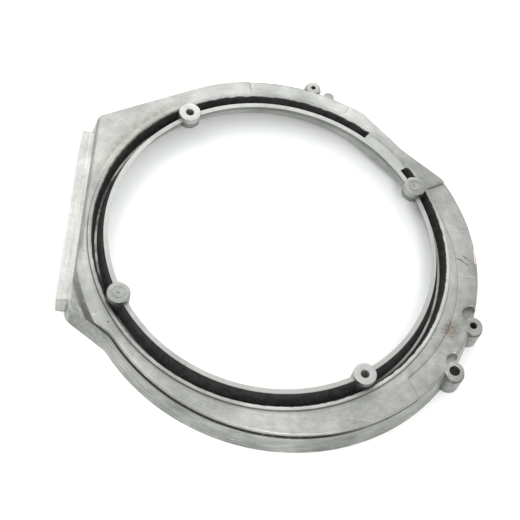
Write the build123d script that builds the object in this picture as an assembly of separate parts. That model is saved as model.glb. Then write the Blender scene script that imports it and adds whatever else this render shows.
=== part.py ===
from build123d import *
import math
import os

# Fan shroud of an air-cooled engine: one pressure die casting in aluminium.
# Z is up and zero is the joint face that meets the other half of the housing.
# The origin is the centre of the fan opening, and the air outlet faces -X.
# Lengths are millimetres and angles are degrees.

# Rim round the fan opening
RIM_HEIGHT = 24.0
OPENING_RADIUS = 111.8
RIM_WIDTH = 3.2
RING_FLARE = 19.5

# V groove round the rim and the lip outside it
GROOVE_DEPTH = 11.1
GROOVE_FLOOR = 1.5
GROOVE_LEAN = 2.0
GROOVE_START = 57.0
GROOVE_END = 39.0
LIP_DROP = 2.2
LIP_WIDTH = 3.0
LIP_CHAMFER = 0.8

# Straight flank that thickens the ring where the wall is pinched
FLANK_INSET = 2.4
FLANK_ANGLE = 50.5
FLANK_TOP_DROP = 6.0

# Shell: deck, outer wall with its draught, and the ledge between them
WALL = 3.0
DRAFT = 10.0
DECK_DROP = 3.6
PATCH_DROP = 1.7
LEDGE_STEP = 1.7
LEDGE_WIDTH = 0.9
DECK_EDGE_RADIUS = 1.6
PATCH_CHAMFER = 1.2

# Bosses on the rim: the first two are tapped and the others were left blank
BOSS_ANGLES = (124.7, 304.7, 30.4, 210.4)
TAPPED_COUNT = 2
BOSS_RADIUS = 7.8
BOSS_RISE = 3.5
BOSS_DEPTH = 5.6
BOSS_CHAMFER = 0.4
TAP_DRILL_RADIUS = 2.5
TAP_MOUTH_RADIUS = 3.3
TAP_DEPTH = 12.0
BLANK_RING_RADIUS = 4.6
BLANK_RING_WIDTH = 0.8
BLANK_RING_DEPTH = 0.3
DIMPLE_RADIUS = 1.3
DIMPLE_DEPTH = 1.0

# Plan of the deck: a large circle set off the fan's axis, and a tighter arc at the top
MAIN_CENTRE = (9.4, -4.2)
MAIN_MARGIN = 11.0
TOP_CENTRE = (-0.4, 9.7)
TOP_MARGIN = 3.2
TOP_FROM = 60.0

# Pinch in the outline at the upper right
PINCH_ANGLE = 46.7
PINCH_MARGIN = 6.1
PINCH_RUN = 68.5
PINCH_CORNER = -2.5
PINCH_TAIL = 42.3
PINCH_LEAN = 8.3
PINCH_RADIUS = 22.0
PINCH_END_RADIUS = 12.0

# Outlet: the tangent wall, the straight edge, the sloping corner and the spigot
TANGENT_ANGLE = 119.0
OUTLET_STAND = 1.8
OUTLET_LOW = -66.3
OUTLET_CORNER_RADIUS = 4.5
FOOT_ANGLE = -141.5
FOOT_SINK = 1.8
FOOT_RADIUS = 18.0
FACET_SLOPE = 24.0
SPIGOT_DROP = 5.6
SPIGOT_LENGTH = 10.1
SPIGOT_ROOT = 10.0
SPIGOT_LOW = -63.0
SPIGOT_HIGH = 76.5
SPIGOT_EDGE_RADIUS = 5.0

# Lowered patches. Right: angle and inset from the large circle, then the seams' far ends
PATCH_ARC = ((33.7, 19.0), (2.9, 14.4), (-44.6, 14.7))
PATCH_FAR_ANGLES = (-50.0, -10.0, 32.4)
PATCH_REACH = 175.0
PATCH_TOP_MARGIN = 2.1
PATCH_TOP_ANGLES = (68.0, 84.0, 99.8)
SEAM_RADIUS = 2.5
SEAM_CHAMFER = 0.9

# Screw lugs: angle, distance outside the deck's circle, radius and hole radius
MAIN_LUGS = ((-16.5, 2.1, 6.6, 2.6), (-32.4, 4.4, 6.9, 3.7))
TOP_LUG = (79.3, 4.0, 5.4, 1.7)
LUG_SINK = 0.3
LUG_STEP = 3.6
LUG_FOOT_GROWTH = 0.9
LUG_CHAMFER = 0.6
LUG_WEB_LENGTH = 9.0
LUG_WEB_INSET = 2.0

# Relief notches beside the lugs (angle, inset, radius) and the stub of the gate
NOTCHES = ((-12.9, 1.8, 5.4), (-29.6, 0.2, 4.6))
NOTCH_DEPTH = 4.4
GATE_ANGLE = 73.6
GATE_RADIUS = 4.0

# Levels that follow
LIP_TOP = RIM_HEIGHT - LIP_DROP
DECK = RIM_HEIGHT - DECK_DROP
PATCH = DECK - PATCH_DROP
LEDGE = PATCH - LEDGE_STEP
SPIGOT_ROOF = DECK - SPIGOT_DROP
LUG_TOP = PATCH - LUG_SINK
BOSS_TOP = RIM_HEIGHT + BOSS_RISE
GROOVE_BOTTOM = RIM_HEIGHT - GROOVE_DEPTH
RING_BOTTOM = GROOVE_BOTTOM - WALL

# Radii and places that follow
FLARE = math.tan(math.radians(RING_FLARE))
RIM_RADIUS = OPENING_RADIUS + RIM_WIDTH
FLOOR_INNER = RIM_RADIUS + GROOVE_DEPTH * FLARE
FLOOR_OUTER = FLOOR_INNER + GROOVE_FLOOR
LIP_INNER = FLOOR_OUTER + GROOVE_LEAN
LIP_OUTER = LIP_INNER + LIP_WIDTH
MAIN_RADIUS = LIP_OUTER + MAIN_MARGIN
TOP_RADIUS = LIP_OUTER + TOP_MARGIN
OUTLET_EDGE = MAIN_CENTRE[0] - MAIN_RADIUS - OUTLET_STAND
SKIRT_GROWTH = LEDGE * math.tan(math.radians(DRAFT))
SPAN = 4 * MAIN_RADIUS
TOLERANCE = 0.02
UPRIGHT = (Align.CENTER, Align.CENTER, Align.MIN)
HANGING = (Align.CENTER, Align.CENTER, Align.MAX)


def polar(radius, angle, centre=(0, 0)):
    """Plan point at a radius and angle from a centre, the fan's axis if none is given."""
    turn = math.radians(angle)
    return (centre[0] + radius * math.cos(turn), centre[1] + radius * math.sin(turn))


def round_corner(sketch, point, radius):
    """A plan with the corner nearest to a point rounded."""
    target = Vector(point[0], point[1], 0)
    corner = min(sketch.vertices(), key=lambda vertex: (Vector(*vertex) - target).length)
    return fillet(corner, radius)


def pinch_plan():
    """Region that the pinch takes from the outline, a set distance outside the lip."""
    near = LIP_OUTER + PINCH_MARGIN
    tail = PINCH_CORNER - PINCH_TAIL
    lean = PINCH_TAIL * math.tan(math.radians(PINCH_LEAN))
    far = near + MAIN_RADIUS
    outline = Polyline(
        (near, PINCH_RUN),
        (near, PINCH_CORNER),
        (near + lean, tail),
        (far, tail),
        (far, PINCH_RUN),
        close=True,
    )
    return Rot(0, 0, PINCH_ANGLE) * make_face(outline)


def outlet_plan():
    """Straight-sided part of the plan that carries the air out to the left."""
    tangent = polar(TOP_RADIUS, TANGENT_ANGLE, TOP_CENTRE)
    run = (tangent[0] - OUTLET_EDGE) * math.tan(math.radians(TANGENT_ANGLE - 90))
    corner = (OUTLET_EDGE, tangent[1] - run)
    low = (OUTLET_EDGE, OUTLET_LOW)
    foot = polar(MAIN_RADIUS - FOOT_SINK, FOOT_ANGLE, MAIN_CENTRE)
    return make_face(Polyline(tangent, corner, low, foot, (0, 0), close=True)), corner, low, foot


def deck_plan():
    """The deck seen from above, without its lugs."""
    main = Pos(*MAIN_CENTRE) * Circle(MAIN_RADIUS)
    upper = Pos(0, TOP_FROM) * Rectangle(SPAN, SPAN, align=(Align.CENTER, Align.MIN))
    top = (Pos(*TOP_CENTRE) * Circle(TOP_RADIUS)) & upper
    outlet, corner, low, foot = outlet_plan()
    pinch = pinch_plan()
    plan = main + top + outlet - pinch
    touching = [vertex for vertex in plan.vertices() if pinch.distance_to(vertex) < TOLERANCE]
    bend = polar(LIP_OUTER + PINCH_MARGIN, PINCH_ANGLE)
    touching.sort(key=lambda vertex: (Vector(*vertex) - Vector(*bend)).length)
    ends = [(vertex.X, vertex.Y) for vertex in touching[1:]]
    plan = round_corner(plan, (touching[0].X, touching[0].Y), PINCH_RADIUS)
    for end in ends:
        plan = round_corner(plan, end, PINCH_END_RADIUS)
    plan = round_corner(plan, foot, FOOT_RADIUS)
    for end in (corner, low):
        plan = round_corner(plan, end, OUTLET_CORNER_RADIUS)
    return plan


def ring_sector(inner, outer):
    """Plan between two three-point arcs, joined by straight seams."""
    return make_face(
        ThreePointArc(*inner)
        + Line(inner[2], outer[2])
        + ThreePointArc(outer[2], outer[1], outer[0])
        + Line(outer[0], inner[0])
    )


def patch_plan():
    """The two lowered outer regions, one along the right side and one at the top."""
    right = [polar(MAIN_RADIUS - inset, angle, MAIN_CENTRE) for angle, inset in PATCH_ARC]
    right_far = [polar(PATCH_REACH, angle, MAIN_CENTRE) for angle in reversed(PATCH_FAR_ANGLES)]
    top = [polar(LIP_OUTER + PATCH_TOP_MARGIN, angle) for angle in PATCH_TOP_ANGLES]
    top_far = [polar(PATCH_REACH, angle) for angle in PATCH_TOP_ANGLES]
    patch = ring_sector(right, right_far) + ring_sector(top, top_far)
    for corner in (right[0], right[2], top[0], top[2]):
        patch = round_corner(patch, corner, SEAM_RADIUS)
    return patch


def follows_seam(patch, edge):
    """Whether an edge of the deck follows the border of a lowered patch."""
    middle = edge @ 0.5
    return patch.distance_to(Vertex(middle.X, middle.Y, 0)) < TOLERANCE


def high_deck(plan, patch):
    """The part of the deck that stays at full height, its edge rounded and its seams bevelled."""
    whole = extrude(plan, amount=DECK)
    whole = fillet(whole.edges().group_by(Axis.Z)[-1], DECK_EDGE_RADIUS)
    high = whole - extrude(patch, amount=RIM_HEIGHT)
    top = high.edges().group_by(Axis.Z)[-1]
    return chamfer([edge for edge in top if follows_seam(patch, edge)], SEAM_CHAMFER)


def notches(growth):
    """Round relief notches beside the lugs, or the walls round them when a growth is given."""
    cut = Part()
    for angle, inset, radius in NOTCHES:
        x, y = polar(MAIN_RADIUS - inset, angle, MAIN_CENTRE)
        floor = PATCH - NOTCH_DEPTH - growth
        cut += Pos(x, y, floor) * Cylinder(radius + growth, RIM_HEIGHT - floor, align=UPRIGHT)
    return cut


def low_deck(plan):
    """The lowered deck under the patches, notched, with its edge bevelled."""
    low = extrude(plan, amount=PATCH) - notches(0)
    return chamfer(low.edges().group_by(Axis.Z)[-1], PATCH_CHAMFER)


def facet_limit(depth):
    """What the sloping corner beside the outlet leaves of the shell, at a depth below its skin."""
    slope = math.tan(math.radians(FACET_SLOPE))
    top = DECK - depth
    profile = Polyline((0, 0), (MAIN_RADIUS + top / slope, 0), (MAIN_RADIUS, top), (0, top), close=True)
    cone = Pos(*MAIN_CENTRE) * revolve(Plane.XZ * make_face(profile), Axis.Z)
    flat = Pos(0, MAIN_CENTRE[1], 0) * Box(SPAN, SPAN, DECK, align=(Align.CENTER, Align.MIN, Align.MIN))
    return cone + flat


def spigot(inset, length):
    """Low duct that stands out of the outlet's edge, or its bore when an inset is given."""
    width = SPIGOT_HIGH - SPIGOT_LOW - 2 * inset
    middle = (SPIGOT_HIGH + SPIGOT_LOW) / 2
    block = Pos(OUTLET_EDGE + SPIGOT_ROOT, middle, 0) * Box(
        SPIGOT_ROOT + length, width, SPIGOT_ROOF - inset, align=(Align.MAX, Align.CENTER, Align.MIN))
    roof_ends = block.edges().filter_by(Axis.X).group_by(Axis.Z)[-1]
    return fillet(roof_ends, SPIGOT_EDGE_RADIUS - inset)


def outer_form(plan, patch):
    """Outside of the shell: drafted wall, ledge, decks, sloping corner and spigot."""
    skirt = extrude(offset(plan, LEDGE_WIDTH + SKIRT_GROWTH), amount=LEDGE, taper=DRAFT)
    form = (skirt - notches(0)) + low_deck(plan) + high_deck(plan, patch)
    return (form & facet_limit(0)) + spigot(0, SPIGOT_LENGTH)


def hollow_form(plan, patch):
    """Air space under the shell, a wall's thickness inside the outside form."""
    skirt = extrude(offset(plan, LEDGE_WIDTH + SKIRT_GROWTH - WALL), amount=LEDGE - WALL, taper=DRAFT)
    low = extrude(offset(plan, -WALL), amount=PATCH - WALL)
    high = extrude(offset(plan - patch, -WALL), amount=DECK - WALL)
    form = (skirt + low + high) & facet_limit(WALL)
    return form + spigot(WALL, SPIGOT_LENGTH + WALL)


def ring_blank():
    """Rim, lip and the ridge under the groove, before the groove and opening are cut."""
    middle = (FLOOR_INNER + FLOOR_OUTER) / 2
    profile = Polyline(
        (OPENING_RADIUS - WALL, RING_BOTTOM),
        (FLOOR_OUTER + WALL / 2, RING_BOTTOM),
        (FLOOR_OUTER + WALL, RING_BOTTOM + WALL / 2),
        (LIP_OUTER, DECK - WALL / 2),
        (LIP_OUTER, LIP_TOP),
        (LIP_INNER, LIP_TOP),
        (middle, RIM_HEIGHT),
        (OPENING_RADIUS - WALL, RIM_HEIGHT),
        close=True,
    )
    return revolve(Plane.XZ * make_face(profile), Axis.Z)


def opening_cut():
    """Flared fan opening, flattened by the straight flank beside the pinch."""
    profile = Polyline(
        (0, -SPAN),
        (OPENING_RADIUS + (RIM_HEIGHT + SPAN) * FLARE, -SPAN),
        (OPENING_RADIUS, RIM_HEIGHT),
        (OPENING_RADIUS, SPAN),
        (0, SPAN),
        close=True,
    )
    cone = revolve(Plane.XZ * make_face(profile), Axis.Z)
    kept = Box(OPENING_RADIUS, OPENING_RADIUS, RIM_HEIGHT - FLANK_TOP_DROP - RING_BOTTOM,
               align=(Align.MIN, Align.CENTER, Align.MIN))
    flank = Rot(0, 0, FLANK_ANGLE) * Pos(OPENING_RADIUS + FLANK_INSET, 0, RING_BOTTOM) * kept
    return cone - flank


def groove_cut():
    """V groove, cut round the rim except where the pinched wall leaves no room."""
    profile = make_face(Polyline(
        (RIM_RADIUS, SPAN),
        (RIM_RADIUS, RIM_HEIGHT),
        (FLOOR_INNER, GROOVE_BOTTOM),
        (FLOOR_OUTER, GROOVE_BOTTOM),
        (LIP_INNER, LIP_TOP - LIP_CHAMFER),
        (LIP_INNER + LIP_CHAMFER, LIP_TOP),
        (LIP_OUTER, LIP_TOP),
        (LIP_OUTER, SPAN),
        close=True,
    ))
    sweep = 360 - (GROOVE_START - GROOVE_END)
    groove = revolve(Plane.XZ * profile, Axis.Z, revolution_arc=sweep)
    return Rot(0, 0, GROOVE_START) * groove


def boss_head(angle):
    """Top of one boss, centred on the rim's outer edge, that overhangs the opening."""
    x, y = polar(RIM_RADIUS, angle)
    head = Pos(x, y, RIM_HEIGHT - BOSS_DEPTH) * Cylinder(BOSS_RADIUS, BOSS_RISE + BOSS_DEPTH, align=UPRIGHT)
    return chamfer(head.edges().group_by(Axis.Z)[-1], BOSS_CHAMFER)


def boss_stem(angle):
    """Stem of one boss, which fills the groove down to the ridge."""
    x, y = polar(RIM_RADIUS, angle)
    height = RIM_HEIGHT - BOSS_DEPTH / 2 - RING_BOTTOM
    return Pos(x, y, RING_BOTTOM) * Cylinder(BOSS_RADIUS, height, align=UPRIGHT)


def tapped_hole(angle):
    """Blind tapping hole with a countersunk mouth."""
    x, y = polar(RIM_RADIUS, angle)
    sink = TAP_MOUTH_RADIUS - TAP_DRILL_RADIUS
    drill = Cylinder(TAP_DRILL_RADIUS, TAP_DEPTH, align=HANGING)
    mouth = Cone(TAP_DRILL_RADIUS, TAP_MOUTH_RADIUS, sink, align=HANGING)
    return Pos(x, y, BOSS_TOP) * (drill + mouth)


def blank_mark(angle):
    """Cast ring and centre dimple on a boss that was never drilled."""
    x, y = polar(RIM_RADIUS, angle)
    ring = Cylinder(BLANK_RING_RADIUS, BLANK_RING_DEPTH, align=HANGING)
    ring -= Cylinder(BLANK_RING_RADIUS - BLANK_RING_WIDTH, BLANK_RING_DEPTH, align=HANGING)
    dimple = Cone(0, DIMPLE_RADIUS, DIMPLE_DEPTH, align=HANGING)
    return Pos(x, y, BOSS_TOP) * (ring + dimple)


def lug_places():
    """Each screw lug as its place, the direction away from the deck, its radius and hole radius."""
    angle, reach, radius, hole = TOP_LUG
    places = [(polar(TOP_RADIUS + reach, angle, TOP_CENTRE), angle, radius, hole)]
    for angle, reach, radius, hole in MAIN_LUGS:
        places.append((polar(MAIN_RADIUS + reach, angle, MAIN_CENTRE), angle, radius, hole))
    return places


def lug(place, radius):
    """Screw lug: a stepped post that stands on the joint face."""
    post = Cylinder(radius, LUG_TOP, align=UPRIGHT)
    post = chamfer(post.edges().group_by(Axis.Z)[-1], LUG_CHAMFER)
    foot = Cylinder(radius + LUG_FOOT_GROWTH, LUG_TOP - LUG_STEP, align=UPRIGHT)
    return Pos(*place) * (post + foot)


def lug_web(place, angle, radius):
    """Web that joins a lug to the outer wall."""
    web = Box(LUG_WEB_LENGTH, 2 * radius - LUG_WEB_INSET, LUG_TOP - LUG_STEP,
              align=(Align.MAX, Align.CENTER, Align.MIN))
    return Pos(*place) * Rot(0, 0, angle) * web


def lug_hole(place, hole):
    """Screw hole right through a lug."""
    return Pos(*place) * Cylinder(hole, LUG_TOP, align=UPRIGHT)


def gate_stub():
    """Stub of the trimmed gate on the top edge."""
    x, y = polar(TOP_RADIUS + LEDGE_WIDTH, GATE_ANGLE, TOP_CENTRE)
    return Pos(x, y) * Cylinder(GATE_RADIUS, PATCH - PATCH_CHAMFER, align=UPRIGHT)


def shell():
    """The hollow shell, open at the joint face and at the outlet."""
    plan = deck_plan()
    patch = patch_plan()
    outer = outer_form(plan, patch)
    hollow = hollow_form(plan, patch) - notches(WALL)
    body = outer - hollow + (gate_stub() - hollow)
    for place, angle, radius, hole in lug_places():
        body += lug(place, radius)
        body += lug_web(place, angle, radius) - hollow
    return body


def fan_shroud():
    """The whole casting."""
    body = shell() + ring_blank()
    body -= groove_cut()
    for angle in BOSS_ANGLES:
        body += boss_stem(angle)
    body -= opening_cut()
    for angle in BOSS_ANGLES:
        body += boss_head(angle)
    for angle in BOSS_ANGLES[:TAPPED_COUNT]:
        body -= tapped_hole(angle)
    for angle in BOSS_ANGLES[TAPPED_COUNT:]:
        body -= blank_mark(angle)
    for place, angle, radius, hole in lug_places():
        body -= lug_hole(place, hole)
    return body


os.makedirs("parts", exist_ok=True)
shroud = fan_shroud()
print("solids", len(shroud.solids()), "volume", round(shroud.volume))
export_step(shroud.solids().sort_by(SortBy.VOLUME)[-1], "parts/shroud_casting.step")
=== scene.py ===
# %% [markdown]
# The object is the cast aluminium shroud that goes round the cooling fan of a small engine.
# It is one casting, so the imported model has one node. This file gives a copy of that node its
# finish and hides the node itself.
# The frame is loaded first: everything later is placed in the same frame, in metres.

# %% Load the frame
import bmesh
import bpy
import math
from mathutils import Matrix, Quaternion, Vector


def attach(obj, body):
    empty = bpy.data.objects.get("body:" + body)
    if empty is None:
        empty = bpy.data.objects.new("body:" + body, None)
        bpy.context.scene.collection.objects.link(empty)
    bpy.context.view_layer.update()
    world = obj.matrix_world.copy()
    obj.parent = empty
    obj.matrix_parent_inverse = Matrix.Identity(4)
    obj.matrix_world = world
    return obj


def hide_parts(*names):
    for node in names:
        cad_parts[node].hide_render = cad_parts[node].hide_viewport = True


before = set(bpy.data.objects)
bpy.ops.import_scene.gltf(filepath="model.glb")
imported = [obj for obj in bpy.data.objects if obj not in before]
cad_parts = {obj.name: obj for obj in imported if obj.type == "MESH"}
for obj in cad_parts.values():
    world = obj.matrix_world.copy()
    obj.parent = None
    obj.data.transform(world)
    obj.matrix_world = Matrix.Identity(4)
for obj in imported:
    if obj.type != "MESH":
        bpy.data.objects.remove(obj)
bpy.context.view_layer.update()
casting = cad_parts["shroud_casting"]
MM = 0.001

# %% [markdown]
# The photograph was taken from above and in front with a short telephoto lens, and the camera was
# turned a little about its own axis. Three Euler angles would do it too, but a place, a target and
# a roll can be read back by eye, so the camera is set from those.

# %% Camera
CAMERA_PLACE = Vector((-104.1, -467.4, 771.3)) * MM
CAMERA_TARGET = Vector((-4.74, -3.23, 0.0)) * MM
CAMERA_ROLL = math.radians(17.94)
CAMERA_LENS = 90.0

camera_data = bpy.data.cameras.new("camera")
camera_data.lens = CAMERA_LENS
camera_data.sensor_width = 36.0
camera_data.clip_start = 0.01
camera = bpy.data.objects.new("camera", camera_data)
bpy.context.scene.collection.objects.link(camera)
camera.location = CAMERA_PLACE
line_of_sight = CAMERA_TARGET - CAMERA_PLACE
turn = line_of_sight.to_track_quat("-Z", "Y")
turn.rotate(Quaternion(line_of_sight, -CAMERA_ROLL))
camera.rotation_mode = "QUATERNION"
camera.rotation_quaternion = turn
bpy.context.scene.camera = camera
print("camera distance", round(line_of_sight.length, 3), "m")

# %% [markdown]
# Materials are built from nodes. One small function adds a node, fills in its settings and makes
# its links, so that each finish below reads as a list of steps. Colours are written as sRGB hex
# values, as a paint chart gives them, and turned to the linear values that Blender mixes. Places
# round the fan's axis are written as a radius and an angle, the way such a part is drawn.

# %% Helpers for nodes and colours
def add_node(tree, kind, settings=None, links=None):
    """A node with its settings and links. A key that names an input sets that input's value."""
    made = tree.nodes.new(kind)
    for name, value in (settings or {}).items():
        if isinstance(name, int) or name in made.inputs:
            made.inputs[name].default_value = value
        else:
            setattr(made, name, value)
    for name, socket in (links or {}).items():
        tree.links.new(socket, made.inputs[name])
    return made


def colour(code):
    """Linear RGBA of an sRGB hex value."""
    channels = [int(code[i:i + 2], 16) / 255 for i in (1, 3, 5)]
    return [c / 12.92 if c <= 0.04045 else ((c + 0.055) / 1.055) ** 2.4 for c in channels] + [1.0]


def ring_point(radius, degrees, height=0.0):
    """The point at a radius and an angle round the fan's axis."""
    angle = math.radians(degrees)
    return (radius * math.cos(angle), radius * math.sin(angle), height)


print("mid grey", [round(c, 3) for c in colour("#808080")])

# %% [markdown]
# The light is a plain studio: one large soft lamp above and behind the casting, a lower one behind
# it that draws the shadow inside the far rim, one from the left, a small one in front that gives
# the rounded shoulders their glints, and a pale world that is a little brighter at one side. A metal
# shows what is round it, and here that is an even white, so the lamps alone shade the deck.

# %% Lamps and world
def seen_directly(tree):
    """1 for rays that show a surface, also in a mirror or through glass, and 0 for rays that light."""
    path = add_node(tree, "ShaderNodeLightPath")
    mirrored = add_node(tree, "ShaderNodeMath", {"operation": "ADD"},
                        {0: path.outputs["Is Camera Ray"], 1: path.outputs["Is Glossy Ray"]})
    return add_node(tree, "ShaderNodeMath", {"operation": "ADD", "use_clamp": True},
                    {0: mirrored.outputs[0], 1: path.outputs["Is Transmission Ray"]}).outputs[0]


# Name, place in metres, width in metres and power in watts.
LAMPS = (
    ("soft lamp above", (-0.35, 0.85, 1.25), 1.3, 3.0),
    ("soft lamp behind", (0.1, 1.5, 0.85), 0.9, 6.0),
    ("soft lamp left", (-0.75, 0.05, 1.3), 0.8, 5.0),
    ("small lamp front", (0.15, -0.75, 1.15), 0.3, 4.0),
)
for name, place, width, power in LAMPS:
    data = bpy.data.lights.new(name, "AREA")
    data.shape = "SQUARE"
    data.size = width
    data.energy = power
    lamp = bpy.data.objects.new(name, data)
    bpy.context.scene.collection.objects.link(lamp)
    lamp.location = place
    lamp.rotation_euler = (-Vector(place)).to_track_quat("-Z", "Y").to_euler()

BRIGHT_SIDE = Vector((-0.45, 0.55, 0.7)).normalized()
DARK_END, DARK_LEVEL, BRIGHT_LEVEL = -0.6, 0.94, 1.08
world = bpy.data.worlds.new("studio")
bpy.context.scene.world = world
world.use_nodes = True
world_tree = world.node_tree
world_tree.nodes.clear()
direction = add_node(world_tree, "ShaderNodeTexCoord")
facing = add_node(world_tree, "ShaderNodeVectorMath", {"operation": "DOT_PRODUCT", 1: BRIGHT_SIDE},
                  {0: direction.outputs["Generated"]})
level = add_node(world_tree, "ShaderNodeMapRange",
                 {"From Min": DARK_END, "From Max": 1.0, "To Min": DARK_LEVEL, "To Max": BRIGHT_LEVEL},
                 {"Value": facing.outputs["Value"]})
studio = add_node(world_tree, "ShaderNodeBackground", {"Color": colour("#ffffff")},
                  {"Strength": level.outputs[0]})
backdrop = add_node(world_tree, "ShaderNodeBackground", {"Color": colour("#ffffff"), "Strength": 1.0})
seen = add_node(world_tree, "ShaderNodeMixShader", None,
                {0: seen_directly(world_tree), 1: studio.outputs[0], 2: backdrop.outputs[0]})
add_node(world_tree, "ShaderNodeOutputWorld", None, {"Surface": seen.outputs[0]})
bpy.context.scene.view_settings.view_transform = "Standard"
print("lamps", len(LAMPS), "world nodes", len(world_tree.nodes))

# %% [markdown]
# The floor is a sheet of white paper. Its colour alone would render pale grey, so seen directly it
# gets a little light of its own: the open floor goes white and the casting's shadow stays soft.

# %% Floor
FLOOR_SIZE, PAPER_LIFT = 6.0, 0.08
floor_mesh = bpy.data.meshes.new("floor")
half = FLOOR_SIZE / 2
corners = [(-half, -half, 0), (half, -half, 0), (half, half, 0), (-half, half, 0)]
floor_mesh.from_pydata(corners, [], [(0, 1, 2, 3)])
floor = bpy.data.objects.new("floor", floor_mesh)
bpy.context.scene.collection.objects.link(floor)
paper = bpy.data.materials.new("white paper")
paper.use_nodes = True
paper_tree = paper.node_tree
paper_tree.nodes.clear()
lift = add_node(paper_tree, "ShaderNodeMath", {"operation": "MULTIPLY", 1: PAPER_LIFT},
                {0: seen_directly(paper_tree)})
sheet = add_node(paper_tree, "ShaderNodeBsdfPrincipled",
                 {"Base Color": colour("#f2f4f3"), "Roughness": 0.8, "Specular IOR Level": 0.2,
                  "Emission Color": colour("#ffffff")},
                 {"Emission Strength": lift.outputs[0]})
add_node(paper_tree, "ShaderNodeOutputMaterial", None, {"Surface": sheet.outputs[0]})
floor_mesh.materials.append(paper)
print("floor", FLOOR_SIZE, "m square")

# %% [markdown]
# The casting's own solid has the right shape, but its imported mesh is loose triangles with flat
# normals. A copy of it is merged so that curved walls shade smoothly. Edges sharper than a limit stay
# crisp, and normals are weighted by face area, so that each small bevel reads as the rounded edge of
# a casting while the large flat deck stays flat.

# %% Dressed copy of the casting
SHARP_EDGE = math.radians(52)
MERGE_DISTANCE = 0.002 * MM
AREA_WEIGHT = 60
dressed_mesh = casting.data.copy()
dressed_mesh.name = "dressed_casting"
shape = bmesh.new()
shape.from_mesh(dressed_mesh)
bmesh.ops.remove_doubles(shape, verts=shape.verts, dist=MERGE_DISTANCE)
for face in shape.faces:
    face.smooth = True
for edge in shape.edges:
    edge.smooth = len(edge.link_faces) == 2 and edge.calc_face_angle(0.0) < SHARP_EDGE
shape.to_mesh(dressed_mesh)
shape.free()
dressed = bpy.data.objects.new("dressed_casting", dressed_mesh)
bpy.context.scene.collection.objects.link(dressed)
weights = dressed.modifiers.new("weighted normals", "WEIGHTED_NORMAL")
weights.keep_sharp = True
weights.weight = AREA_WEIGHT
evaluated = dressed.evaluated_get(bpy.context.evaluated_depsgraph_get())
finished_mesh = bpy.data.meshes.new_from_object(evaluated)
dressed.modifiers.remove(weights)
dressed.data = finished_mesh
print("dressed casting", len(finished_mesh.polygons), "faces")

# %% [markdown]
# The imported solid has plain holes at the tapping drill's size, so the threads are added here. A helix
# is a rule and not a sculpture: Geometry Nodes draw one turn after another from a pitch and a radius,
# and set the result in each tapped boss. The pitch is that of a coarse 6 mm thread.

# %% Threads in the tapped bosses
BOSS_RING_MM, TAPPED_ANGLES = 115.0, (124.7, 304.7)
THREAD_LOW_MM, THREAD_LENGTH_MM, THREAD_PITCH_MM = 16.0, 10.4, 1.0
THREAD_RADIUS_MM, THREAD_RIDGE_MM = 2.5, 0.26
STEPS_PER_TURN, RIDGE_CORNERS = 24, 4
THREAD_SIZES = {"Radius": THREAD_RADIUS_MM * MM, "Length": THREAD_LENGTH_MM * MM,
                "Turns": THREAD_LENGTH_MM / THREAD_PITCH_MM, "Ridge": THREAD_RIDGE_MM * MM}


def group_input(group, name, value):
    """A named number on a node group's interface, with its default. Returns its identifier."""
    made = group.interface.new_socket(name, in_out="INPUT", socket_type="NodeSocketFloat")
    made.default_value = value
    return made.identifier


cut = bpy.data.materials.new("aluminium thread with painted shade")
cut.use_nodes = True
shader = cut.node_tree.nodes["Principled BSDF"]
# The thread's grey is darker than cut aluminium: painted shade for the dark inside the tapped holes.
for name, value in {"Base Color": colour("#6f706e"), "Metallic": 1.0, "Roughness": 0.4}.items():
    shader.inputs[name].default_value = value

winding = bpy.data.node_groups.new("thread winding", "GeometryNodeTree")
winding.interface.new_socket("Geometry", in_out="INPUT", socket_type="NodeSocketGeometry")
winding.interface.new_socket("Geometry", in_out="OUTPUT", socket_type="NodeSocketGeometry")
identifiers = {name: group_input(winding, name, value) for name, value in THREAD_SIZES.items()}
given = add_node(winding, "NodeGroupInput")
helix = add_node(winding, "GeometryNodeCurveSpiral", {"Resolution": STEPS_PER_TURN},
                 {"Rotations": given.outputs["Turns"], "Start Radius": given.outputs["Radius"],
                  "End Radius": given.outputs["Radius"], "Height": given.outputs["Length"]})
ridge = add_node(winding, "GeometryNodeCurvePrimitiveCircle", {"Resolution": RIDGE_CORNERS},
                 {"Radius": given.outputs["Ridge"]})
thread = add_node(winding, "GeometryNodeCurveToMesh", {"Fill Caps": True},
                  {"Curve": helix.outputs[0], "Profile Curve": ridge.outputs[0]})
copies = add_node(winding, "GeometryNodeInstanceOnPoints", None,
                  {"Points": given.outputs["Geometry"], "Instance": thread.outputs[0]})
real = add_node(winding, "GeometryNodeRealizeInstances", None, {"Geometry": copies.outputs[0]})
coated = add_node(winding, "GeometryNodeSetMaterial", {"Material": cut}, {"Geometry": real.outputs[0]})
add_node(winding, "NodeGroupOutput", None, {"Geometry": coated.outputs[0]})

hole_mesh = bpy.data.meshes.new("tapped holes")
thread_places_mm = [ring_point(BOSS_RING_MM, angle, THREAD_LOW_MM) for angle in TAPPED_ANGLES]
hole_mesh.from_pydata([[value * MM for value in point] for point in thread_places_mm], [], [])
threads = bpy.data.objects.new("boss_threads", hole_mesh)
bpy.context.scene.collection.objects.link(threads)
wind = threads.modifiers.new("thread winding", "NODES")
wind.node_group = winding
for name, value in THREAD_SIZES.items():
    wind[identifiers[name]] = value
evaluated = threads.evaluated_get(bpy.context.evaluated_depsgraph_get())
threads_mesh = bpy.data.meshes.new_from_object(evaluated)
threads.modifiers.remove(wind)
threads.data = threads_mesh
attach(threads, "root")
print("threads", len(threads_mesh.polygons), "faces")

# %% [markdown]
# Die-cast aluminium comes out of the tool with a dull, slightly mottled skin. Where the die's
# lubricant burned on it is greyer, where hands and cloths rub it is brighter. The finish starts from
# aluminium's usual values: metallic 1, a roughness near 0.45 and two greys that differ a little.
# All patterns read the object's own coordinates, turned to millimetres, so every size below is real.

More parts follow.
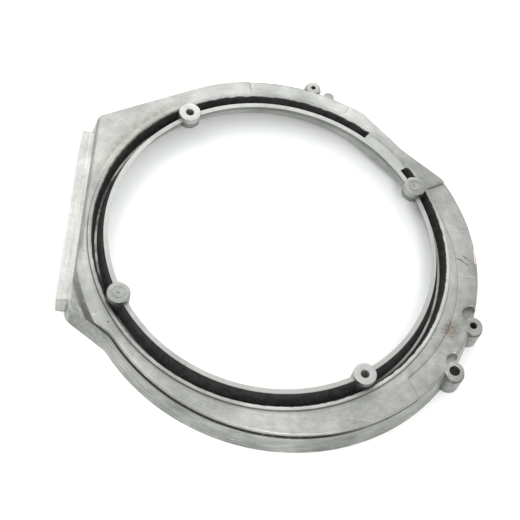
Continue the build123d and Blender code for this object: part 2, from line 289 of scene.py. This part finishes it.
# %% Coordinates of the cast finish
cast = bpy.data.materials.new("die-cast aluminium")
cast.use_nodes = True
tree = cast.node_tree
tree.nodes.clear()
place = add_node(tree, "ShaderNodeTexCoord")
mm = add_node(tree, "ShaderNodeVectorMath", {"operation": "SCALE", "Scale": 1 / MM},
              {0: place.outputs["Object"]}).outputs[0]
x, y, z = add_node(tree, "ShaderNodeSeparateXYZ", None, {0: mm}).outputs
flat = add_node(tree, "ShaderNodeCombineXYZ", None, {"X": x, "Y": y}).outputs[0]
radius = add_node(tree, "ShaderNodeVectorMath", {"operation": "LENGTH"}, {0: flat}).outputs["Value"]
heading = add_node(tree, "ShaderNodeVectorMath", {"operation": "NORMALIZE"}, {0: flat}).outputs[0]
print("coordinate nodes", len(tree.nodes))

# %% [markdown]
# The patterns below are made of a few steps that come back again and again, so each step gets a
# short function. Most patterns are a product of ramps: each ramp is 1 where one condition holds and
# 0 where it doesn't, with a soft edge between, and the product is 1 only where all of them hold.

# %% Steps of the cast finish
def math_node(operation, *operands, clamp=False):
    """Output of a Math node. Each operand is a socket or a number."""
    made = add_node(tree, "ShaderNodeMath", {"operation": operation, "use_clamp": clamp})
    for index, operand in enumerate(operands):
        if isinstance(operand, bpy.types.NodeSocket):
            tree.links.new(operand, made.inputs[index])
        else:
            made.inputs[index].default_value = operand
    return made.outputs[0]


def product(first, *others):
    """Product of several sockets or numbers."""
    for other in others:
        first = math_node("MULTIPLY", first, other)
    return first


def ramp(value, low, high, to_low=0.0, to_high=1.0):
    """A socket's value, moved from one range to another and held at its ends."""
    limits = {"From Min": low, "From Max": high, "To Min": to_low, "To Max": to_high}
    return add_node(tree, "ShaderNodeMapRange", limits, {"Value": value}).outputs[0]


def spot(distance, size, core=0.4):
    """1 near a place and 0 past a distance from it. The core is the share of it that is full."""
    return ramp(distance, size, core * size)


def distance_to(point):
    """Distance of each point of the surface from one place, in millimetres."""
    return add_node(tree, "ShaderNodeVectorMath", {"operation": "DISTANCE", 1: point},
                    {0: mm}).outputs["Value"]


def turned_from(degrees, zero_at, one_at):
    """A ramp by the angle round the axis between each point and one direction."""
    cosine = add_node(tree, "ShaderNodeVectorMath",
                      {"operation": "DOT_PRODUCT", 1: ring_point(1.0, degrees)}, {0: heading})
    return ramp(cosine.outputs["Value"], math.cos(math.radians(zero_at)), math.cos(math.radians(one_at)))


def noise(size, detail, roughness=0.5, vector=mm):
    """A Noise Texture node whose patches are about as wide as the size."""
    return add_node(tree, "ShaderNodeTexNoise",
                    {"Scale": 1 / size, "Detail": detail, "Roughness": roughness}, {"Vector": vector})


def mixed(factor, below, above):
    """One colour laid over another. Each is a socket or an sRGB hex value."""
    settings, links = {"data_type": "RGBA"}, {"Factor": factor}
    for name, value in (("A", below), ("B", above)):
        if isinstance(value, str):
            settings[name] = colour(value)
        else:
            links[name] = value
    return add_node(tree, "ShaderNodeMix", settings, links).outputs["Result"]


def toned(shade, factor):
    """A colour made darker or lighter by a factor."""
    return add_node(tree, "ShaderNodeVectorMath", {"operation": "SCALE"},
                    {0: shade, "Scale": factor}).outputs[0]


NOISE_SPREAD = (0.3, 0.7)
print("steps ready, noise taken from", NOISE_SPREAD[0], "to", NOISE_SPREAD[1])

# %% [markdown]
# The skin's greys come from three sizes of noise: clouds a few centimetres wide from the way the
# metal filled the die, blotches of a few millimetres, and a grain of just under a millimetre. Real
# grain is finer, near 0.1 mm, which would not show at this distance, so it is drawn coarser.

# %% Greys of the cast skin
CLOUD_MM, BLOTCH_MM, GRAIN_MM = 38.0, 5.0, 0.8
CLOUD_SPREAD, BLOTCH_TONES, GRAIN_TONES = (0.36, 0.64), (0.91, 1.06), (0.94, 1.05)
clouds = noise(CLOUD_MM, 4.0, 0.6).outputs[0]
blotches = noise(BLOTCH_MM, 3.0, 0.65).outputs[0]
grain = noise(GRAIN_MM, 2.0).outputs[0]
skin = mixed(ramp(clouds, *CLOUD_SPREAD), "#8e908c", "#b5b6b2")
mottled = toned(skin, product(ramp(blotches, *NOISE_SPREAD, *BLOTCH_TONES),
                              ramp(grain, *NOISE_SPREAD, *GRAIN_TONES)))
print("skin nodes", len(tree.nodes))

# %% [markdown]
# The V groove's walls are coloured near-black and matt. The groove's two walls lean outwards, so
# the black is bounded by two skewed radii: one follows the rim's flare and one follows the lip's
# lean. A little noise frays both edges.

# %% Black in the groove
RIM_HEIGHT_MM, RIM_FLARE, LIP_LEAN, GROOVE_FLOOR_MM = 24.0, 0.3541, 0.2247, 12.9
FRAY_SIZE_MM, FRAY_MM = 4.0, 0.3
PAST_RIM_MM, BEFORE_LIP_MM = (113.6, 114.0), (121.3, 120.9)
ABOVE_RIDGE_MM, BELOW_RIM_MM = (12.3, 12.6), (23.9, 23.6)
fray = noise(FRAY_SIZE_MM, 3.0).outputs[0]
frayed = math_node("ADD", radius, ramp(fray, *NOISE_SPREAD, -FRAY_MM, FRAY_MM))
rim_skew = math_node("MULTIPLY_ADD", math_node("SUBTRACT", RIM_HEIGHT_MM, z), -RIM_FLARE, frayed)
lip_skew = math_node("MULTIPLY_ADD", math_node("SUBTRACT", z, GROOVE_FLOOR_MM), -LIP_LEAN, frayed)
in_groove = product(ramp(rim_skew, *PAST_RIM_MM), ramp(lip_skew, *BEFORE_LIP_MM),
                    ramp(z, *ABOVE_RIDGE_MM), ramp(z, *BELOW_RIM_MM))
print("groove nodes", len(tree.nodes))

# %% [markdown]
# At the pinch the groove stops, so the black stops there too. On the groove's narrow floor, at the
# left and the right, the black is left off and the metal shows as a thin line.

# %% Where the groove's black is left off
PINCH_ANGLE, PINCH_LIMITS = 48.0, (9.0, 9.4)
SIDE_LIMITS, FLOOR_LIMITS_MM, CLOUD_PATCH_LIMITS = (0.55, 0.8), (13.15, 12.95), (0.38, 0.52)
GROOVE_BLACK_SPREAD = (0.35, 0.7)
outside_pinch = turned_from(PINCH_ANGLE, *PINCH_LIMITS)
compass = add_node(tree, "ShaderNodeSeparateXYZ", None, {0: heading})
sideways = math_node("ABSOLUTE", compass.outputs["X"])
unblackened_floor = product(ramp(sideways, *SIDE_LIMITS), ramp(z, *FLOOR_LIMITS_MM),
                     ramp(clouds, *CLOUD_PATCH_LIMITS))
# Near-black colour on the groove's walls, left off at the pinch and on the floor line.
groove_black = product(in_groove, outside_pinch, math_node("SUBTRACT", 1.0, unblackened_floor))
groove_black_colour = mixed(ramp(blotches, *GROOVE_BLACK_SPREAD), "#1d1e1f", "#3a3b3a")
print("paint nodes", len(tree.nodes))

# %% [markdown]
# Painted shade darkens the concave corners: the ledge under the deck's shoulder, most of all at the
# front and left of the lugs, and the small step outside the lip. Each is a band of height or
# radius.

# %% Painted shade in the corners
LEDGE_LOW_MM, LEDGE_HIGH_MM, LEDGE_RADIUS_MM = (15.9, 16.5), (18.2, 17.7), (127.0, 128.0)
FRONT_Y_MM, LEAST_AT_BACK = (-30.0, -95.0), 0.25
LUGS_X_MM, LEAST_AT_LUGS = (75.0, 45.0), 0.12
BREAK_SPREAD, LEAST_IN_BREAKS = (0.20, 0.42), 0.45
STEP_INNER_MM, STEP_OUTER_MM, STEP_STRENGTH = (125.2, 125.4), (126.3, 125.7), 0.5
# Painted shade on the ledge under the deck's shoulder and in the step outside the lip.
ledge_shade = product(ramp(z, *LEDGE_LOW_MM), ramp(z, *LEDGE_HIGH_MM), ramp(radius, *LEDGE_RADIUS_MM),
                      ramp(y, *FRONT_Y_MM, LEAST_AT_BACK), ramp(x, *LUGS_X_MM, LEAST_AT_LUGS),
                      ramp(fray, *BREAK_SPREAD, LEAST_IN_BREAKS))
step_shade = product(ramp(radius, *STEP_INNER_MM), ramp(radius, *STEP_OUTER_MM), STEP_STRENGTH)
corner_shade = math_node("MAXIMUM", ledge_shade, step_shade)
print("grime nodes", len(tree.nodes))

# %% [markdown]
# Two stains are large enough to matter: a brown line along the lip at the upper left with a softer
# smudge outside it, and a speckled dirty spot beside the lugs.

# %% Brown stains
STAIN_ANGLE, STAIN_LIMITS = 144.0, (24.0, 16.0)
LIP_INNER_MM, LIP_OUTER_MM = (121.8, 122.6), (124.8, 123.4)
SMUDGE_INNER_MM, SMUDGE_OUTER_MM, SMUDGE_STRENGTH = (126.2, 129.2), (133.5, 129.0), 0.6
SMUDGE_SPREAD, LEAST_SMUDGE = (0.34, 0.62), 0.25
DIRT_PLACE_MM, DIRT_SIZE_MM, SPECKLE_MM = (125.5, -49.4, 18.7), 9.0, 1.4
SPECKLE_SPREAD, LEAST_DIRT = (0.42, 0.56), 0.25
lip_line = product(ramp(frayed, *LIP_INNER_MM), ramp(frayed, *LIP_OUTER_MM))
smudge = product(ramp(frayed, *SMUDGE_INNER_MM, 0.0, SMUDGE_STRENGTH), ramp(frayed, *SMUDGE_OUTER_MM),
                 ramp(blotches, *SMUDGE_SPREAD, LEAST_SMUDGE))
stain = product(math_node("MAXIMUM", lip_line, smudge), turned_from(STAIN_ANGLE, *STAIN_LIMITS))
speckle = noise(SPECKLE_MM, 3.0, 0.7)
dirt = product(spot(distance_to(DIRT_PLACE_MM), DIRT_SIZE_MM),
               ramp(speckle.outputs[0], *SPECKLE_SPREAD, LEAST_DIRT))
brown = math_node("MAXIMUM", stain, dirt)
print("stain nodes", len(tree.nodes))

# %% [markdown]
# Years of handling left small pits all over the deck and a few long scratches. The pits are the
# middles of Voronoi cells, and the scratches are a noise stretched far along one direction.

# %% Pits and scratches
PIT_SPACING_MM, PIT_RADIUS_MM = 9.0, 0.55
SCRATCH_TURN, SCRATCH_SCALE = math.radians(35), (0.012, 0.8, 0.3)
SCRATCH_SPREAD, SCRATCH_STRENGTH = (0.70, 0.74), 0.5
cells = add_node(tree, "ShaderNodeTexVoronoi", {"Scale": 1 / PIT_SPACING_MM}, {"Vector": mm})
pits = spot(cells.outputs["Distance"], PIT_RADIUS_MM / PIT_SPACING_MM)
stretched = add_node(tree, "ShaderNodeMapping",
                     {"Rotation": (0, 0, SCRATCH_TURN), "Scale": SCRATCH_SCALE}, {"Vector": mm})
long_noise = noise(1.0, 2.0, vector=stretched.outputs[0])
scratches = ramp(long_noise.outputs[0], *SCRATCH_SPREAD, 0.0, SCRATCH_STRENGTH)
print("wear nodes", len(tree.nodes))

# %% [markdown]
# The two tapped bosses were faced with a cutter, which leaves fine rings round each hole, and the
# rim's narrow top is rubbed bright where the part beside it sat. The opening's flared wall is drawn
# darker: painted shade on the side that faces into the opening.

# %% Machined faces, the rubbed rim and painted shade on the flared wall
BOSS_TOP_MM, BOSS_FACE_MM, BOSS_HEIGHT_MM = 27.5, (7.6, 7.3), (27.2, 27.4)
CUTTER_RING_MM, RING_TONES = 0.7, (0.82, 1.06)
RIM_LOW_MM, RIM_HIGH_MM, LEAST_RUBBED = (23.75, 23.95), (24.3, 24.1), 0.35
WALL_RADIUS_MM, WALL_TOP_MM, WALL_SHADE = (114.4, 113.6), (23.8, 23.0), 0.55
hole_places_mm = [ring_point(BOSS_RING_MM, angle, BOSS_TOP_MM) for angle in TAPPED_ANGLES]
from_hole = math_node("MINIMUM", *[distance_to(point) for point in hole_places_mm])
on_boss = product(ramp(from_hole, *BOSS_FACE_MM), ramp(z, *BOSS_HEIGHT_MM))
ring_wave = math_node("SINE", product(from_hole, 2 * math.pi / CUTTER_RING_MM))
rings = ramp(ring_wave, -1.0, 1.0, *RING_TONES)
rubbed_rim = product(ramp(z, *RIM_LOW_MM), ramp(z, *RIM_HIGH_MM),
                     ramp(clouds, *CLOUD_PATCH_LIMITS, LEAST_RUBBED))
# Painted shade: the opening's flared wall is drawn darker.
on_wall = product(ramp(radius, *WALL_RADIUS_MM), ramp(z, *WALL_TOP_MM))
wall_shade = ramp(on_wall, 0.0, 1.0, 1.0, WALL_SHADE)
print("machined nodes", len(tree.nodes))

# %% [markdown]
# The outlet's strip shows streaks from the die, and the whole strip is drawn lighter: painted
# light. Years of wiping left faint lines round the ring, strongest on the outer wall. Lines that run
# round a ring need coordinates that do too, so the ring is unrolled: the way along the arc, the
# radius and the height.

# %% Streaks and painted light on the strip, and wiping lines
STRIP_END_MM, STREAK_SCALE, STRIP_LIGHT_TONES = (-129.0, -130.0), (0.9, 0.02, 0.02), (1.12, 1.36)
WIPED_RADIUS_MM, WIPE_SCALE, LINE_SPREAD = 135.0, (0.06, 0.8, 0.7), (0.35, 0.65)
OUTER_WALL_TOP_MM, OUTER_WALL_RADIUS_MM = (17.4, 16.6), (127.5, 128.5)
WALL_DULLING, DECK_TONES = (0.26, 0.0), (0.93, 1.03)
drawn = add_node(tree, "ShaderNodeMapping", {"Scale": STREAK_SCALE}, {"Vector": mm})
drawn_lines = noise(1.0, 3.0, vector=drawn.outputs[0]).outputs[0]
# Painted light: the strip's tones are all above 1, so the whole strip is lighter, with streaks in it.
lit_streaks = ramp(drawn_lines, *LINE_SPREAD, *STRIP_LIGHT_TONES)
on_strip = ramp(x, *STRIP_END_MM)
strip_light = math_node("ADD", product(on_strip, math_node("SUBTRACT", lit_streaks, 1.0)), 1.0)
arc = product(math_node("ARCTAN2", y, x), WIPED_RADIUS_MM)
unrolled = add_node(tree, "ShaderNodeCombineXYZ", None, {"X": arc, "Y": radius, "Z": z})
wiped = add_node(tree, "ShaderNodeMapping", {"Scale": WIPE_SCALE}, {"Vector": unrolled.outputs[0]})
wipe_lines = noise(1.0, 4.0, 0.6, wiped.outputs[0]).outputs[0]
on_outer_wall = product(ramp(z, *OUTER_WALL_TOP_MM), ramp(radius, *OUTER_WALL_RADIUS_MM),
                        math_node("SUBTRACT", 1.0, on_strip))
wall_lines = product(on_outer_wall, ramp(wipe_lines, *LINE_SPREAD, *WALL_DULLING))
wiped_tone = math_node("SUBTRACT", ramp(wipe_lines, *LINE_SPREAD, *DECK_TONES), wall_lines)
print("line nodes", len(tree.nodes))

# %% [markdown]
# A few marks are set one by one, because the eye knows a photographed casting by them: two dark
# pits, a bright nick and four short cracks. A crack is the distance to a line between two points,
# read at places that a little noise has moved, so that the line wanders.

# %% Single marks and cracks
DARK_MARKS_MM = (((-122.9, -12.6, 20.4), 1.1), ((-103.4, -76.8, 20.4), 1.0))
BRIGHT_MARK_MM, BRIGHT_MARK_SIZE_MM, MARK_CORE = (18.3, -123.2, 21.8), 1.3, 0.5
CRACKS_MM = (((128.7, 8.6, 18.7), (134.5, 7.1, 18.7)), ((134.5, 7.1, 18.7), (139.4, 3.3, 18.7)),
             ((136.1, 10.6, 18.7), (140.3, 7.8, 18.7)), ((111.3, -51.1, 21.8), (114.9, -51.7, 20.4)))
CRACK_WIDTH_MM, CRACK_WANDER_MM = 0.45, 1.6
bright_mark = spot(distance_to(BRIGHT_MARK_MM), BRIGHT_MARK_SIZE_MM, MARK_CORE)
dark_marks = pits
for point, size in DARK_MARKS_MM:
    dark_marks = math_node("MAXIMUM", dark_marks, spot(distance_to(point), size, MARK_CORE))
wander = add_node(tree, "ShaderNodeVectorMath",
                  {"operation": "MULTIPLY_ADD", 1: (CRACK_WANDER_MM,) * 3, 2: (-CRACK_WANDER_MM / 2,) * 3},
                  {0: speckle.outputs["Color"]})
moved = add_node(tree, "ShaderNodeVectorMath", {"operation": "ADD"}, {0: mm, 1: wander.outputs[0]})
for start, end in CRACKS_MM:
    along = Vector(end) - Vector(start)
    step = add_node(tree, "ShaderNodeVectorMath", {"operation": "SUBTRACT", 1: start},
                    {0: moved.outputs[0]})
    share = add_node(tree, "ShaderNodeVectorMath",
                     {"operation": "DOT_PRODUCT", 1: along / along.length_squared}, {0: step.outputs[0]})
    held_share = math_node("MULTIPLY", share.outputs["Value"], 1.0, clamp=True)
    nearest = add_node(tree, "ShaderNodeVectorMath", {"operation": "SCALE", 0: along},
                       {"Scale": held_share})
    gap = add_node(tree, "ShaderNodeVectorMath", {"operation": "DISTANCE"},
                   {0: step.outputs[0], 1: nearest.outputs[0]})
    dark_marks = math_node("MAXIMUM", dark_marks, spot(gap.outputs["Value"], CRACK_WIDTH_MM))
print("mark nodes", len(tree.nodes))

# %% [markdown]
# A small paper label sits on the outer wall at the right. It is made plain, with a pale border and
# nothing on it. Its place is given by three distances: along the wall, out from the deck's edge,
# and up from the joint face.

# %% Plain label on the outer wall
LABEL_MIDDLE_Y_MM, LABEL_HALF_MM, LABEL_FROM_X_MM, LABEL_FROM_Z_MM = 12.5, 6.0, 144.0, 4.0
LABEL_BORDER_MM, LABEL_EDGE_MM = 1.0, 0.2
from_middle = math_node("ABSOLUTE", math_node("SUBTRACT", y, LABEL_MIDDLE_Y_MM))


def label_area(inset):
    """1 inside the label, an inset from its border."""
    half_width = LABEL_HALF_MM - inset
    out_from, up_from = LABEL_FROM_X_MM + inset, LABEL_FROM_Z_MM + inset
    return product(ramp(from_middle, half_width, half_width - LABEL_EDGE_MM),
                   ramp(x, out_from, out_from + LABEL_EDGE_MM), ramp(z, up_from, up_from + LABEL_EDGE_MM))


label = label_area(0.0)
label_colour = mixed(label_area(LABEL_BORDER_MM), "#ddd3cf", "#bd8a86")
print("label nodes", len(tree.nodes))

# %% [markdown]
# The colour is laid in this order: the cast skin and its machined faces, toned by the painted shade
# on the flared wall and the painted light on the strip, then scratches and pits in it, brown stains,
# black painted shade in the corners, the label, and the groove's black last, because it covers
# everything in the groove. The groove's black, the painted shade in the corners and the label aren't
# metal, so they take the metallic look away.

# %% Colour, roughness and bump together
METAL_ROUGHNESS, COVER_ROUGHNESS = (0.36, 0.54), 0.85
FINE_BUMP, WAVE_BUMP = {"Strength": 0.25, "Distance": 0.15 * MM}, {"Strength": 0.3, "Distance": 0.5 * MM}
ringed = add_node(tree, "ShaderNodeVectorMath", {"operation": "SCALE", 0: colour("#b9bab7")[:3]},
                  {"Scale": rings})
faced = mixed(on_boss, mottled, ringed.outputs[0])
dulled = toned(faced, product(wall_shade, strip_light, wiped_tone))
polished = mixed(math_node("MAXIMUM", rubbed_rim, bright_mark), dulled, "#abada9")
scratched = mixed(scratches, polished, "#d2d3d1")
pitted = mixed(dark_marks, scratched, "#5d5e5c")
stained = mixed(brown, pitted, "#776f63")
# Painted shade: near-black in the concave corners under the shoulder and outside the lip.
corner_shaded = mixed(corner_shade, stained, "#2a2a29")
labelled = mixed(label, corner_shaded, label_colour)
final_colour = mixed(groove_black, labelled, groove_black_colour)
cover = math_node("MAXIMUM", label, math_node("MAXIMUM", groove_black, corner_shade))
metal_roughness = ramp(blotches, *NOISE_SPREAD, *METAL_ROUGHNESS)
roughness = add_node(tree, "ShaderNodeMix", {"B": COVER_ROUGHNESS}, {"Factor": cover, "A": metal_roughness})
fine_bump = add_node(tree, "ShaderNodeBump", FINE_BUMP, {"Height": grain})
wave_bump = add_node(tree, "ShaderNodeBump", WAVE_BUMP,
                     {"Height": blotches, "Normal": fine_bump.outputs[0]})
finish = add_node(tree, "ShaderNodeBsdfPrincipled", None,
                  {"Base Color": final_colour, "Metallic": math_node("SUBTRACT", 1.0, cover),
                   "Roughness": roughness.outputs["Result"], "Normal": wave_bump.outputs[0]})
add_node(tree, "ShaderNodeOutputMaterial", None, {"Surface": finish.outputs[0]})
finished_mesh.materials.clear()
finished_mesh.materials.append(cast)
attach(dressed, "root")
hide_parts("shroud_casting")
print("finish nodes", len(tree.nodes))
